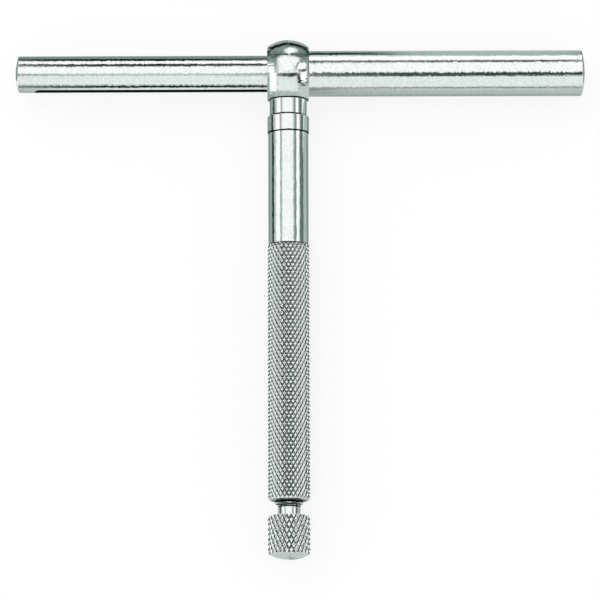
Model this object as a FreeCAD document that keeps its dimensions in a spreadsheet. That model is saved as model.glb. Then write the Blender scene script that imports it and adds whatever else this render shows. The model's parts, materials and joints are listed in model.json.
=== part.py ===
"""Telescoping gauge: a T of two round arms on a ball head, with a knurled handle and a lock screw.

The origin is where the arms' axis crosses the handle's axis, in the middle of the ball. The fixed arm
points to +X, the sprung plunger to -X, and the handle to -Y. The gauge lies flat, with +Z up.
Everything is in millimetres, and the plunger is modelled fully out.
"""
import FreeCAD, Part

import math
import operator
import os

import Sketcher
from FreeCAD import Vector

doc = FreeCAD.newDocument("TelescopingGauge")
sheet = doc.addObject("Spreadsheet::Sheet", "Sizes")

# Driving dimensions
SIZES = (
    ("fixed_arm_dia", 12.25, "outside of the fixed arm's tube"),
    ("fixed_seat_dia", 11.6, "turned-down end of the fixed arm inside the head"),
    ("fixed_reach", 79.4, "handle axis to the fixed contact"),
    ("fixed_round", 23.0, "radius of the fixed contact"),
    ("fixed_end_wall", 5.0, "solid metal behind the fixed contact"),
    ("plunger_dia", 9.75, "outside of the plunger"),
    ("moving_reach", 73.0, "handle axis to the moving contact, plunger fully out"),
    ("moving_round", 14.5, "radius of the moving contact"),
    ("moving_end_wall", 6.0, "solid metal behind the moving contact"),
    ("plunger_hold", 7.0, "plunger left inside past the handle axis, fully out"),
    ("slide_gap", 0.05, "running clearance round the plunger"),
    ("seat_gap", 0.02, "clearance round pieces that are pinned or pressed together"),
    ("keyway_width", 3.15, "width of the plunger's keyway"),
    ("keyway_depth", 1.4, "depth of the plunger's keyway"),
    ("keyway_start", 5.1, "moving contact to the keyway"),
    ("edge_break", 0.25, "small round on turned edges"),
    ("ball_dia", 18.1, "ball of the head"),
    ("head_width", 11.15, "across the ball's two flats"),
    ("neck_dia", 9.9, "neck under the ball"),
    ("collar_dia", 11.08, "collar under the neck"),
    ("collar_drop", 11.7, "arms' axis to the top of the collar"),
    ("collar_height", 4.7, "height of the collar"),
    ("collar_chamfer", 0.4, "chamfer round the top of the collar"),
    ("spigot_dia", 7.0, "spigot of the head inside the handle"),
    ("spigot_length", 12.0, "length of the spigot"),
    ("pin_dia", 2.9, "pin that holds the fixed arm"),
    ("pin_offset", 3.65, "handle axis to the pin"),
    ("pin_crown", 0.25, "height of the pin's domed end"),
    ("barrel_dia", 10.7, "plain barrel of the handle"),
    ("barrel_length", 30.2, "length of the plain barrel"),
    ("grip_dia", 11.2, "over the points of the knurl"),
    ("grip_length", 68.4, "knurled grip with its rounded end"),
    ("grip_round", 1.15, "round at the end of the grip"),
    ("grip_knurls", 28, "diamonds round the grip"),
    ("grip_knurl_pitch", 2.02, "diamond to diamond along the grip"),
    ("knurl_depth", 0.38, "points of a knurl to its grooves"),
    ("knurl_spare", 0.1, "metal left over the points until the knurl is cut"),
    ("thread_dia", 7.75, "thread of the lock screw"),
    ("thread_gap", 0.06, "clearance round the lock screw's thread"),
    ("shank_length", 21.4, "lock screw inside the handle"),
    ("thread_spare", 2.6, "thread of the handle left free above the lock screw"),
    ("rod_dia", 4.5, "lock rod"),
    ("key_gap", 0.04, "clearance of the key in the keyway"),
    ("key_length", 3.0, "narrow key on the end of the lock rod"),
    ("lock_gap", 0.18, "key to the floor of the keyway, unlocked"),
    ("rod_collar_dia", 6.8, "collar on the lock rod under its spring"),
    ("rod_collar_height", 2.0, "height of that collar"),
    ("rod_spring_length", 14.0, "fitted length of the lock rod's spring"),
    ("rod_spring_wire", 0.6, "wire of the lock rod's spring"),
    ("rod_spring_turns", 8, "turns of the lock rod's spring"),
    ("plunger_spring_dia", 5.4, "outside of the plunger's spring"),
    ("plunger_spring_wire", 0.7, "wire of the plunger's spring"),
    ("plunger_spring_turns", 44, "turns of the plunger's spring"),
    ("spring_gap", 0.1, "clearance round and behind a spring"),
    ("screw_show", 0.6, "thread that shows below the handle"),
    ("screw_cone", 0.95, "height of the cone below the thread"),
    ("stem_dia", 5.9, "stem of the lock screw"),
    ("stem_length", 2.3, "stem that shows above the knob"),
    ("knob_dia", 11.2, "over the points of the knob's knurl"),
    ("knob_length", 10.05, "knob to the edge of its domed end"),
    ("knob_crown", 1.5, "height of the knob's domed end"),
    ("knob_knurls", 26, "diamonds round the knob"),
    ("knob_knurl_pitch", 2.63, "diamond to diamond along the knob"),
)

for row, (alias, value, words) in enumerate(SIZES, start=1):
    sheet.set(f"A{row}", words)
    sheet.set(f"B{row}", str(value))
    sheet.setAlias(f"B{row}", alias)
doc.recompute()


class Size:
    """A length worked out from the sheet: its value, and the expression that keeps it true."""

    def __init__(self, value, text):
        self.value = value
        self.text = text

    def combined(self, other, sign, work, swap=False):
        other = other if isinstance(other, Size) else Size(other, repr(other))
        first, second = (other, self) if swap else (self, other)
        return Size(work(first.value, second.value), f"({first.text} {sign} {second.text})")

    def __add__(self, other):
        return self.combined(other, "+", operator.add)

    def __sub__(self, other):
        return self.combined(other, "-", operator.sub)

    def __mul__(self, other):
        return self.combined(other, "*", operator.mul)

    def __truediv__(self, other):
        return self.combined(other, "/", operator.truediv)

    def __neg__(self):
        return self.combined(0, "-", operator.sub, swap=True)

    __radd__ = __add__
    __rmul__ = __mul__


def size(alias):
    return Size(float(sheet.get(alias)), f"Sizes.{alias}")


def root(length):
    return Size(math.sqrt(length.value), f"sqrt({length.text})")


def crown_depth(round_radius, face_radius):
    """How far a spherical end falls back at the edge of a round face."""
    return round_radius - root(round_radius * round_radius - face_radius * face_radius)


# Sizes that several pieces share
arm_radius = size("fixed_arm_dia") / 2
seat_radius = size("fixed_seat_dia") / 2
plunger_radius = size("plunger_dia") / 2
arm_bore_radius = plunger_radius + size("slide_gap")
head_half = size("head_width") / 2
ball_radius = size("ball_dia") / 2
key_radius = size("keyway_width") / 2 - size("key_gap")
rod_radius = size("rod_dia") / 2
spigot_radius = size("spigot_dia") / 2
handle_bore_radius = spigot_radius + size("seat_gap")
handle_top = size("collar_drop") + size("collar_height")
handle_length = size("barrel_length") + size("grip_length")
keyway_floor = plunger_radius - size("keyway_depth")
key_top = keyway_floor + size("lock_gap")
pocket_radius = size("plunger_spring_dia") / 2 + size("spring_gap")
plunger_length = size("moving_reach") + size("plunger_hold")
screw_nose = handle_top + handle_length - size("shank_length")
rod_length = screw_nose - key_top


# Helpers for turned pieces and round cuts

ARMS_AXIS, HANDLE_AXIS = "H_Axis", "V_Axis"


def new_body(label):
    body = doc.addObject("PartDesign::Body", label)
    body.Label = label
    return body


def new_sketch(body, name, role, offset=None):
    """A sketch on one of the body's own planes, raised by offset along that plane's normal."""
    sketch = body.newObject("Sketcher::SketchObject", name)
    plane = next(f for f in body.Origin.OriginFeatures if f.Role == role)
    sketch.AttachmentSupport = [(plane, "")]
    sketch.MapMode = "FlatFace"
    if offset is not None:
        sketch.setExpression("AttachmentOffset.Base.z", offset.text)
    return sketch


def number(length):
    return length.value if isinstance(length, Size) else float(length)


def bind(sketch, kind, *where):
    """Add a constraint whose last entry is a size, and tie it to the sheet."""
    *places, length = where
    index = sketch.addConstraint(Sketcher.Constraint(kind, *places, length.value))
    sketch.setExpression(f"Constraints[{index}]", length.text)


def put_on_axis(sketch, edge, end, axis):
    number_of_axis = -1 if axis == ARMS_AXIS else -2
    sketch.addConstraint(Sketcher.Constraint("PointOnObject", edge, end, number_of_axis))


def place_point(sketch, edge, end, across, up):
    """Hold one end of a sketch edge at a distance from the sketch's own axes, or on an axis for 0."""
    for kind, length, axis in (("DistanceX", across, HANDLE_AXIS), ("DistanceY", up, ARMS_AXIS)):
        if isinstance(length, Size):
            bind(sketch, kind, -1, 1, edge, end, length)
        else:
            put_on_axis(sketch, edge, end, axis)


def arc_between(start, end, axis):
    """The arc from start to end about a centre on the turning axis, and which of its ends is which."""
    square = start.dot(start) - end.dot(end)
    if axis == ARMS_AXIS:
        centre = Vector(square / (2 * (start.x - end.x)), 0, 0)
    else:
        centre = Vector(0, square / (2 * (start.y - end.y)), 0)
    first, last = start - centre, end - centre
    forward = first.cross(last).z > 0
    if not forward:
        first, last = last, first
    circle = Part.Circle(centre, Vector(0, 0, 1), first.Length)
    arc = Part.ArcOfCircle(circle, math.atan2(first.y, first.x), math.atan2(last.y, last.x))
    return arc, (1, 2) if forward else (2, 1)


def draw_outline(sketch, axis, corners):
    """Join corners (across, up) by lines. The edge after a corner that ends in "round" is an arc."""
    spots = [Vector(number(corner[0]), number(corner[1]), 0) for corner in corners]
    edges = []
    for index, corner in enumerate(corners):
        start, end = spots[index], spots[(index + 1) % len(spots)]
        ends = (1, 2)
        if corner[-1] == "round":
            arc, ends = arc_between(start, end, axis)
            edge = sketch.addGeometry(arc, False)
            put_on_axis(sketch, edge, 3, axis)
        else:
            edge = sketch.addGeometry(Part.LineSegment(start, end), False)
        edges.append((edge, *ends))
    for index, (edge, start, end) in enumerate(edges):
        after, after_start, _ = edges[(index + 1) % len(edges)]
        sketch.addConstraint(Sketcher.Constraint("Coincident", edge, end, after, after_start))
        place_point(sketch, edge, start, *corners[index][:2])


def turn(body, axis, corners):
    """Turn an outline drawn in the XY plane about the arms' axis or the handle's axis."""
    sketch = new_sketch(body, f"{body.Name}_outline", "XY_Plane")
    draw_outline(sketch, axis, corners)
    turned = body.newObject("PartDesign::Revolution", f"{body.Name}_turned")
    turned.Profile = sketch
    turned.ReferenceAxis = (sketch, [axis])
    turned.Angle = 360
    doc.recompute()
    return turned


def draw_circle(sketch, across, up, radius):
    spot = Vector(number(across), number(up), 0)
    edge = sketch.addGeometry(Part.Circle(spot, Vector(0, 0, 1), radius.value), False)
    place_point(sketch, edge, 3, across, up)
    bind(sketch, "Radius", edge, radius)


def cut_through(body, sketch, along_normal=False, both=False):
    """Cut a sketch through all of the body: against its normal, along it, or both ways."""
    before = body.Shape.Volume
    pocket = body.newObject("PartDesign::Pocket", f"{sketch.Name}_cut")
    pocket.Profile = sketch
    pocket.Type = "ThroughAll"
    pocket.Reversed = along_normal
    pocket.SideType = "Symmetric" if both else "One side"
    doc.recompute()
    if body.Shape.Volume >= before:
        raise RuntimeError(f"{pocket.Name} cuts nothing")
    return pocket


def round_edges(body, radius, wanted):
    """Round the circular edges whose centre and radius pass the test."""
    base = body.Tip
    names = []
    for index, edge in enumerate(base.Shape.Edges, start=1):
        if edge.Degenerated or not isinstance(edge.Curve, Part.Circle):
            continue
        if wanted(edge.Curve.Center, edge.Curve.Radius):
            names.append(f"Edge{index}")
    fillet = body.newObject("PartDesign::Fillet", f"{body.Name}_round")
    fillet.Base = (base, names)
    fillet.setExpression("Radius", radius.text)
    doc.recompute()


def near(first, second):
    return abs(first - second) < 1e-6


# Head: a ball cut flat on two sides, with a neck, a collar and the spigot that enters the handle


def build_head():
    body = new_body("head")
    neck_radius = size("neck_dia") / 2
    collar_radius = size("collar_dia") / 2
    collar_top = size("collar_drop")
    chamfer = size("collar_chamfer")
    rod_bore = rod_radius + size("slide_gap")
    neck_start = root(ball_radius * ball_radius - neck_radius * neck_radius)
    turn(body, HANDLE_AXIS, (
        (0, ball_radius, "round"),
        (neck_radius, -neck_start),
        (neck_radius, -collar_top),
        (collar_radius - chamfer, -collar_top),
        (collar_radius, -(collar_top + chamfer)),
        (collar_radius, -handle_top),
        (spigot_radius, -handle_top),
        (spigot_radius, -(handle_top + size("spigot_length"))),
        (rod_bore, -(handle_top + size("spigot_length"))),
        (rod_bore, 0),
        (0, 0),
    ))
    flats = new_sketch(body, "head_flats", "XY_Plane")
    for side in (1, -1):
        inner, outer = head_half * side, ball_radius * side
        draw_outline(flats, HANDLE_AXIS, (
            (inner, ball_radius), (outer, ball_radius), (outer, -collar_top), (inner, -collar_top),
        ))
    cut_through(body, flats, both=True)
    cross_bore = new_sketch(body, "head_cross_bore", "YZ_Plane")
    draw_circle(cross_bore, 0, 0, seat_radius + size("seat_gap"))
    cut_through(body, cross_bore, both=True)
    pin_hole = new_sketch(body, "head_pin_hole", "XY_Plane")
    draw_circle(pin_hole, size("pin_offset"), 0, size("pin_dia") / 2 + size("seat_gap"))
    cut_through(body, pin_hole, along_normal=True)
    return body


# Fixed arm: a tube closed by its spherical contact, with a hole for the key and one for the pin


def build_fixed_arm():
    body = new_body("fixed_arm")
    reach = size("fixed_reach")
    bore_end = reach - size("fixed_end_wall")
    edge = reach - crown_depth(size("fixed_round"), arm_radius)
    turn(body, ARMS_AXIS, (
        (-head_half, arm_bore_radius),
        (-head_half, seat_radius),
        (head_half, seat_radius),
        (head_half, arm_radius),
        (edge, arm_radius, "round"),
        (reach, 0),
        (bore_end, 0),
        (bore_end, arm_bore_radius),
    ))
    key_hole = new_sketch(body, "fixed_arm_key_hole", "XZ_Plane")
    draw_circle(key_hole, 0, 0, size("keyway_width") / 2)
    cut_through(body, key_hole, along_normal=True)
    pin_hole = new_sketch(body, "fixed_arm_pin_hole", "XY_Plane")
    draw_circle(pin_hole, size("pin_offset"), 0, size("pin_dia") / 2 + size("seat_gap"))
    cut_through(body, pin_hole, along_normal=True)
    round_edges(body, size("edge_break"), lambda centre, radius: near(centre.x, edge.value))
    return body


# Arm pin: dowel from the ball's surface into the wall of the fixed arm, with a domed end


def build_arm_pin():
    body = new_body("arm_pin")
    radius = size("pin_dia") / 2
    offset = size("pin_offset")
    top = root(ball_radius * ball_radius - offset * offset)
    bottom = arm_bore_radius + size("slide_gap")
    length = top - bottom
    turn(body, HANDLE_AXIS, (
        (0, 0), (radius, 0), (radius, length - size("pin_crown"), "round"), (0, length),
    ))
    body.Placement = FreeCAD.Placement(Vector(0, 0, 0), FreeCAD.Rotation(Vector(1, 0, 0), 90))
    body.setExpression("Placement.Base.x", offset.text)
    body.setExpression("Placement.Base.z", bottom.text)
    return body


# Plunger: bored for its spring, with a spherical contact and a round-ended keyway facing the handle


def draw_slot(sketch, start, end, radius):
    """A slot with round ends, centred on the sketch's own X axis."""
    near_end, far_end = Vector(start.value, 0, 0), Vector(end.value, 0, 0)
    side = Vector(0, radius.value, 0)
    up = Vector(0, 0, 1)
    quarter = math.pi / 2
    far_arc = Part.ArcOfCircle(Part.Circle(far_end, up, radius.value), -quarter, quarter)
    near_arc = Part.ArcOfCircle(Part.Circle(near_end, up, radius.value), quarter, 3 * quarter)
    far = sketch.addGeometry(far_arc, False)
    top = sketch.addGeometry(Part.LineSegment(far_end + side, near_end + side), False)
    back = sketch.addGeometry(near_arc, False)
    bottom = sketch.addGeometry(Part.LineSegment(near_end - side, far_end - side), False)
    for first, second, first_end, second_end in (
        (far, top, 2, 1), (top, back, 2, 1), (back, bottom, 2, 1), (bottom, far, 2, 1),
    ):
        sketch.addConstraint(Sketcher.Constraint("Tangent", first, first_end, second, second_end))
    place_point(sketch, far, 3, end, 0)
    bind(sketch, "DistanceX", -1, 1, back, 3, start)
    bind(sketch, "Radius", far, radius)


def build_plunger():
    body = new_body("plunger")
    crown = crown_depth(size("moving_round"), plunger_radius)
    slot_radius = size("keyway_width") / 2
    turn(body, ARMS_AXIS, (
        (0, 0, "round"),
        (crown, plunger_radius),
        (plunger_length, plunger_radius),
        (plunger_length, pocket_radius),
        (size("moving_end_wall"), pocket_radius),
        (size("moving_end_wall"), 0),
    ))
    round_edges(body, size("edge_break"), lambda centre, radius: near(radius, plunger_radius.value))
    keyway = new_sketch(body, "plunger_keyway", "XZ_Plane", keyway_floor)
    draw_slot(keyway, size("keyway_start") + slot_radius, size("moving_reach"), slot_radius)
    cut_through(body, keyway, along_normal=True)
    body.setExpression("Placement.Base.x", (-size("moving_reach")).text)
    return body


# Knurls: the waste of a knurl is a ring whose inner skin is rows of pyramids, cut out of a turned blank


def solid_from_skin(points, triangles):
    skin = Part.Shape()
    skin.makeShapeFromMesh((points, triangles), 1e-4)
    solid = Part.Solid(skin)
    if solid.Volume < 0:
        solid.reverse()
    return solid


def knurl_waste(start, end, points_radius, count, half_pitch):
    """The metal that a knurl takes away, down the handle's axis from start to at least end."""
    rows = math.ceil((end - start).value / half_pitch.value)
    around = 2 * count
    root_radius = (points_radius - size("knurl_depth")).value
    outer_radius = (points_radius + 2 * size("knurl_depth")).value
    points, triangles = [], []

    def add_ring(row, radii):
        for step, radius in enumerate(radii):
            angle = 2 * math.pi * step / around
            down = start.value + row * half_pitch.value
            points.append(Vector(radius * math.sin(angle), -down, radius * math.cos(angle)))

    def join(first, second):
        """Two triangles for each step between two rings, given by their first points."""
        for step in range(around):
            after = (step + 1) % around
            triangles.append((first + step, first + after, second + after))
            triangles.append((first + step, second + after, second + step))

    for row in range(rows + 1):
        inside = 0 < row < rows
        add_ring(row, [
            points_radius.value if inside and (step + row) % 2 == 0 else root_radius for step in range(around)
        ])
    for row in range(rows):
        for step in range(around):
            here, beside = row * around + step, row * around + (step + 1) % around
            below, across = here + around, beside + around
            if (step + row) % 2 == 0:
                triangles += [(here, below, beside), (beside, below, across)]
            else:
                triangles += [(here, below, across), (here, across, beside)]
    last, top, bottom = rows * around, (rows + 1) * around, (rows + 2) * around
    add_ring(0, [outer_radius] * around)
    add_ring(rows, [outer_radius] * around)
    join(0, top)
    join(top, bottom)
    join(bottom, last)
    return points, triangles


def cut_knurl(label, blank, drop, waste_skin):
    """The blank with the waste of a knurl cut away, both of them lowered by drop."""
    waste = doc.addObject("Part::Feature", f"{label}_waste")
    waste.Shape = solid_from_skin(*waste_skin)
    for part in (blank, waste):
        part.setExpression("Placement.Base.y", (-drop).text)
    knurled = doc.addObject("Part::Cut", label)
    knurled.Label = label
    knurled.Base = blank
    knurled.Tool = waste
    # no two facets share a plane, so there is nothing to merge
    knurled.Refine = False
    doc.recompute()
    return knurled


# Handle: plain barrel and knurled grip, bored for the head's spigot and the lock rod, threaded below


def build_handle():
    body = new_body("handle_blank")
    thread_bore = size("thread_dia") / 2 + size("thread_gap")
    barrel_radius = size("barrel_dia") / 2
    points_radius = size("grip_dia") / 2
    grip_radius = points_radius + size("knurl_spare")
    grip_top = size("barrel_length") + size("knurl_depth")
    thread_top = handle_length - size("shank_length") - size("thread_spare")
    turn(body, HANDLE_AXIS, (
        (handle_bore_radius, 0),
        (barrel_radius, 0),
        (barrel_radius, -grip_top),
        (grip_radius, -grip_top),
        (grip_radius, -handle_length),
        (thread_bore, -handle_length),
        (thread_bore, -thread_top),
        (handle_bore_radius, -thread_top),
    ))
    round_edges(body, size("grip_round"), lambda centre, radius: (
        near(radius, grip_radius.value) and near(centre.y, -handle_length.value)
    ))
    half_pitch = size("grip_knurl_pitch") / 2
    count = round(size("grip_knurls").value)
    return cut_knurl("handle", body, handle_top, knurl_waste(
        size("barrel_length"), handle_length + half_pitch, points_radius, count, half_pitch,
    ))


# Lock rod: its narrow end is the key that rides in the keyway, and its foot stands on the lock screw


def build_lock_rod():
    body = new_body("lock_rod")
    collar_radius = size("rod_collar_dia") / 2
    collar_top = handle_top + size("spigot_length") + size("rod_spring_length") - key_top
    collar_bottom = collar_top + size("rod_collar_height")
    turn(body, HANDLE_AXIS, (
        (0, 0),
        (key_radius, 0),
        (key_radius, -size("key_length")),
        (rod_radius, -size("key_length")),
        (rod_radius, -collar_top),
        (collar_radius, -collar_top),
        (collar_radius, -collar_bottom),
        (rod_radius, -collar_bottom),
        (rod_radius, -rod_length),
        (0, -rod_length),
    ))
    body.setExpression("Placement.Base.y", (-key_top).text)
    return body


# Lock screw: thread, cone, stem and knob in one piece


def build_lock_screw():
    body = new_body("lock_screw_blank")
    thread_radius = size("thread_dia") / 2
    stem_radius = size("stem_dia") / 2
    points_radius = size("knob_dia") / 2
    knob_radius = points_radius + size("knurl_spare")
    thread_end = size("shank_length") + size("screw_show")
    stem_top = thread_end + size("screw_cone")
    knob_top = stem_top + size("stem_length")
    knob_edge = knob_top + size("knob_length")
    turn(body, HANDLE_AXIS, (
        (0, 0),
        (thread_radius, 0),
        (thread_radius, -thread_end),
        (stem_radius, -stem_top),
        (stem_radius, -knob_top),
        (knob_radius, -knob_top),
        (knob_radius, -knob_edge, "round"),
        (0, -(knob_edge + size("knob_crown"))),
    ))
    half_pitch = size("knob_knurl_pitch") / 2
    count = round(size("knob_knurls").value)
    return cut_knurl("lock_screw", body, screw_nose, knurl_waste(
        knob_top - half_pitch, knob_edge + half_pitch, points_radius, count, half_pitch,
    ))


# Springs: round coils of square-sided wire, each a closed skin of flat facets

STEPS_PER_TURN = 8
WIRE_SIDES = 4


def coil_skin(length, outer_radius, wire, turns):
    """A coil about +X from 0 to length, as points and triangles."""
    wire_radius = wire / 2
    middle = outer_radius - wire_radius
    steps = round(turns * STEPS_PER_TURN)
    points, triangles = [], []
    for step in range(steps + 1):
        angle = 2 * math.pi * step / STEPS_PER_TURN
        along = wire_radius + (length - wire) * step / steps
        for side in range(WIRE_SIDES):
            around = 2 * math.pi * side / WIRE_SIDES
            radius = middle + wire_radius * math.cos(around)
            points.append(Vector(
                along + wire_radius * math.sin(around), radius * math.cos(angle), radius * math.sin(angle),
            ))
    for step in range(steps):
        for side in range(WIRE_SIDES):
            here = step * WIRE_SIDES + side
            beside = step * WIRE_SIDES + (side + 1) % WIRE_SIDES
            triangles.append((here, beside, here + WIRE_SIDES))
            triangles.append((beside, beside + WIRE_SIDES, here + WIRE_SIDES))
    last = steps * WIRE_SIDES
    triangles += [(0, 3, 2), (0, 2, 1), (last, last + 1, last + 2), (last, last + 2, last + 3)]
    return points, triangles


def build_spring(label, length, outer_radius, wire, turns, start, direction):
    spring = doc.addObject("Part::Feature", label)
    spring.Label = label
    spring.Shape = solid_from_skin(*coil_skin(length.value, outer_radius.value, wire.value, turns.value))
    spring.Placement = FreeCAD.Placement(start, FreeCAD.Rotation(Vector(1, 0, 0), direction))
    return spring


def build_plunger_spring():
    gap = size("spring_gap")
    start = size("moving_end_wall") - size("moving_reach") + gap
    end = size("fixed_reach") - size("fixed_end_wall") - gap
    return build_spring(
        "plunger_spring", end - start, size("plunger_spring_dia") / 2, size("plunger_spring_wire"),
        size("plunger_spring_turns"), Vector(start.value, 0, 0), Vector(1, 0, 0),
    )


def build_rod_spring():
    gap = size("spring_gap")
    top = handle_top + size("spigot_length") + gap
    # the flat facets cut inside the coil's circle, so its corners stand further out
    inner_radius = (rod_radius + gap) / math.cos(math.pi / STEPS_PER_TURN)
    outer_radius = inner_radius + size("rod_spring_wire")
    return build_spring(
        "rod_spring", size("rod_spring_length") - 2 * gap, outer_radius, size("rod_spring_wire"),
        size("rod_spring_turns"), Vector(0, -top.value, 0), Vector(0, -1, 0),
    )


def build_all():
    return (
        build_head(),
        build_fixed_arm(),
        build_arm_pin(),
        build_plunger(),
        build_plunger_spring(),
        build_handle(),
        build_lock_rod(),
        build_rod_spring(),
        build_lock_screw(),
    )


def check_document():
    for made in doc.Objects:
        if {"Invalid", "Error"} & set(made.State):
            raise RuntimeError(f"{made.Label} failed: {made.State}")


def check_piece(piece):
    shape = piece.Shape
    if shape.isNull() or not shape.isValid() or shape.Volume <= 0:
        raise RuntimeError(f"{piece.Label} has no valid solid")
    if len(shape.Solids) != 1:
        raise RuntimeError(f"{piece.Label} is {len(shape.Solids)} solids")


pieces = build_all()
doc.recompute()
check_document()
for piece in pieces:
    check_piece(piece)

os.makedirs("parts", exist_ok=True)
for piece in pieces:
    piece.Shape.exportStep(f"parts/{piece.Label}.step")
    box = piece.Shape.BoundBox
    print(f"{piece.Label}: {piece.Shape.Volume:.2f} mm3, x {box.XMin:.2f} to {box.XMax:.2f}, "
          f"y {box.YMin:.2f} to {box.YMax:.2f}, z {box.ZMin:.2f} to {box.ZMax:.2f}")
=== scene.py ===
"""Looks of the telescoping gauge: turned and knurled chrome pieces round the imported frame.

The origin is the middle of the ball head. The fixed arm points to +X, the plunger to -X, the handle
to -Y, and the gauge lies flat with +Z up. Outlines are written in millimetres, as (along, radius).
"""
import json
import math

import bmesh
import bpy
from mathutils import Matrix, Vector

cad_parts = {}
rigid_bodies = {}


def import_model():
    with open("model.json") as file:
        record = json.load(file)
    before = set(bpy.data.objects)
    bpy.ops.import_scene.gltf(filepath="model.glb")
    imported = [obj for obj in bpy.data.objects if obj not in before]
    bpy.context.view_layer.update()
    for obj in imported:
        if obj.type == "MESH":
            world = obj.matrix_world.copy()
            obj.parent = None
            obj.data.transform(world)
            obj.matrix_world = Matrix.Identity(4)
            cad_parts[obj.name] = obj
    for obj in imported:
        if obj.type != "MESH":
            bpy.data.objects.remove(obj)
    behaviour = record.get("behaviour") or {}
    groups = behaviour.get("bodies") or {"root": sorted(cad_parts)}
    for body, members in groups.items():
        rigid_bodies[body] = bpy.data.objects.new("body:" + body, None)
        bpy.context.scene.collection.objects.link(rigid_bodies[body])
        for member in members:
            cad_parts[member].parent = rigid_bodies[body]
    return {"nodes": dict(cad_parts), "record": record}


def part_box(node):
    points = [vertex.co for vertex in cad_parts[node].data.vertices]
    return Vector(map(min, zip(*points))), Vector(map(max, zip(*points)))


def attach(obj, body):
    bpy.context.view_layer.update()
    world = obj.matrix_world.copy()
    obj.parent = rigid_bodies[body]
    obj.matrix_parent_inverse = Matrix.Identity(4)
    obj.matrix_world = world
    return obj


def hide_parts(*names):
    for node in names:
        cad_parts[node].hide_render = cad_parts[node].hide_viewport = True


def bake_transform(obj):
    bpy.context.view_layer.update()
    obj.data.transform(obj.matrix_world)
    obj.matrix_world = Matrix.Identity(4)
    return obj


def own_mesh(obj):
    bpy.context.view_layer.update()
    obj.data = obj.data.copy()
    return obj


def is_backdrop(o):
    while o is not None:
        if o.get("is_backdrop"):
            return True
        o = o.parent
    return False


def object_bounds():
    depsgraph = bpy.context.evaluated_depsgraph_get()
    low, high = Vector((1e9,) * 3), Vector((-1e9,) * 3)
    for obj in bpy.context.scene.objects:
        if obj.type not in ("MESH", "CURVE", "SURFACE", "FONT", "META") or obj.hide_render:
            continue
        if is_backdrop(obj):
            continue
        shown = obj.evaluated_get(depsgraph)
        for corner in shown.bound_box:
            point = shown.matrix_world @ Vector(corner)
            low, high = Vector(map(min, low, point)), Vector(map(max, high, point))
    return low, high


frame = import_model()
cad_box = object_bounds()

bl_info = {
    "name": "Telescoping Gauge",
    "version": (1, 0, 0),
    "blender": (4, 5, 0),
    "location": "3D View > Sidebar > Gauge",
    "description": "Builds a chrome telescoping gauge and its studio",
    "category": "Add Mesh",
}

MM = 0.001


# Sizes and colours that a user would change


def length(name, description, millimetres):
    return bpy.props.FloatProperty(
        name=name, description=description, default=millimetres * MM, min=0.0, precision=5,
        subtype="DISTANCE", unit="LENGTH",
    )


def colour(name, description, value):
    return bpy.props.FloatVectorProperty(
        name=name, description=description, default=value, min=0.0, max=1.0, size=3, subtype="COLOR",
    )


def factor(name, description, value):
    return bpy.props.FloatProperty(
        name=name, description=description, default=value, min=0.0, max=1.0, subtype="FACTOR",
    )


def count(name, description, value):
    return bpy.props.IntProperty(name=name, description=description, default=value, min=3)


class HeadSizes(bpy.types.PropertyGroup):
    ball_dia: length("Ball", "Diameter of the ball", 18.1)
    width: length("Width", "Across the ball's two flats", 11.15)
    neck_dia: length("Neck", "Diameter of the neck", 9.9)
    collar_dia: length("Collar", "Diameter of the collar", 11.08)
    collar_drop: length("Collar drop", "Arms' axis to the top of the collar", 11.7)
    collar_chamfer: length("Collar chamfer", "Chamfer round the top of the collar", 0.4)
    spigot_dia: length("Spigot", "Diameter of the spigot inside the handle", 7.0)
    rod_bore: length("Rod bore", "Diameter of the bore for the lock rod", 4.6)
    pin_dia: length("Pin", "Diameter of the pin that holds the fixed arm", 2.9)
    pin_offset: length("Pin offset", "Handle axis to the pin", 3.65)
    pin_gap: length("Pin gap", "Clearance round the pin", 0.02)


class ArmSizes(bpy.types.PropertyGroup):
    fixed_dia: length("Fixed arm", "Diameter of the fixed arm's tube", 12.25)
    seat_dia: length("Seat", "Diameter of the fixed arm inside the head", 11.6)
    fixed_round: length("Fixed contact", "Radius of the fixed contact", 23.0)
    fixed_wall: length("Fixed end wall", "Metal behind the fixed contact", 5.0)
    plunger_dia: length("Plunger", "Diameter of the plunger", 9.75)
    moving_round: length("Moving contact", "Radius of the moving contact", 14.5)
    moving_wall: length("Moving end wall", "Metal behind the moving contact", 6.0)
    slide_gap: length("Slide gap", "Clearance round the plunger", 0.05)
    pocket_dia: length("Pocket", "Diameter of the plunger's spring pocket", 5.6)
    keyway_width: length("Keyway width", "Width of the plunger's keyway", 3.15)
    keyway_depth: length("Keyway depth", "Depth of the plunger's keyway", 1.4)
    keyway_start: length("Keyway start", "Moving contact to the keyway", 5.1)
    edge: length("Edge", "Round on the outer edges", 0.25)


class HandleSizes(bpy.types.PropertyGroup):
    barrel_dia: length("Barrel", "Diameter of the plain barrel", 10.7)
    barrel_length: length("Barrel length", "Length of the plain barrel", 30.2)
    grip_dia: length("Grip", "Diameter over the points of the knurl", 11.2)
    end_round: length("End round", "Round at the end of the grip", 1.15)
    bore_dia: length("Bore", "Diameter of the bore", 7.04)
    thread_dia: length("Thread bore", "Diameter of the threaded end of the bore", 7.87)
    thread_length: length("Thread length", "Length of the threaded end of the bore", 24.0)
    knurl_depth: length("Knurl depth", "Points of the knurl to its grooves", 0.38)
    knurl_pitch: length("Knurl pitch", "Diamond to diamond along the grip", 2.02)
    knurls: count("Knurls", "Diamonds round the grip", 28)


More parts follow.
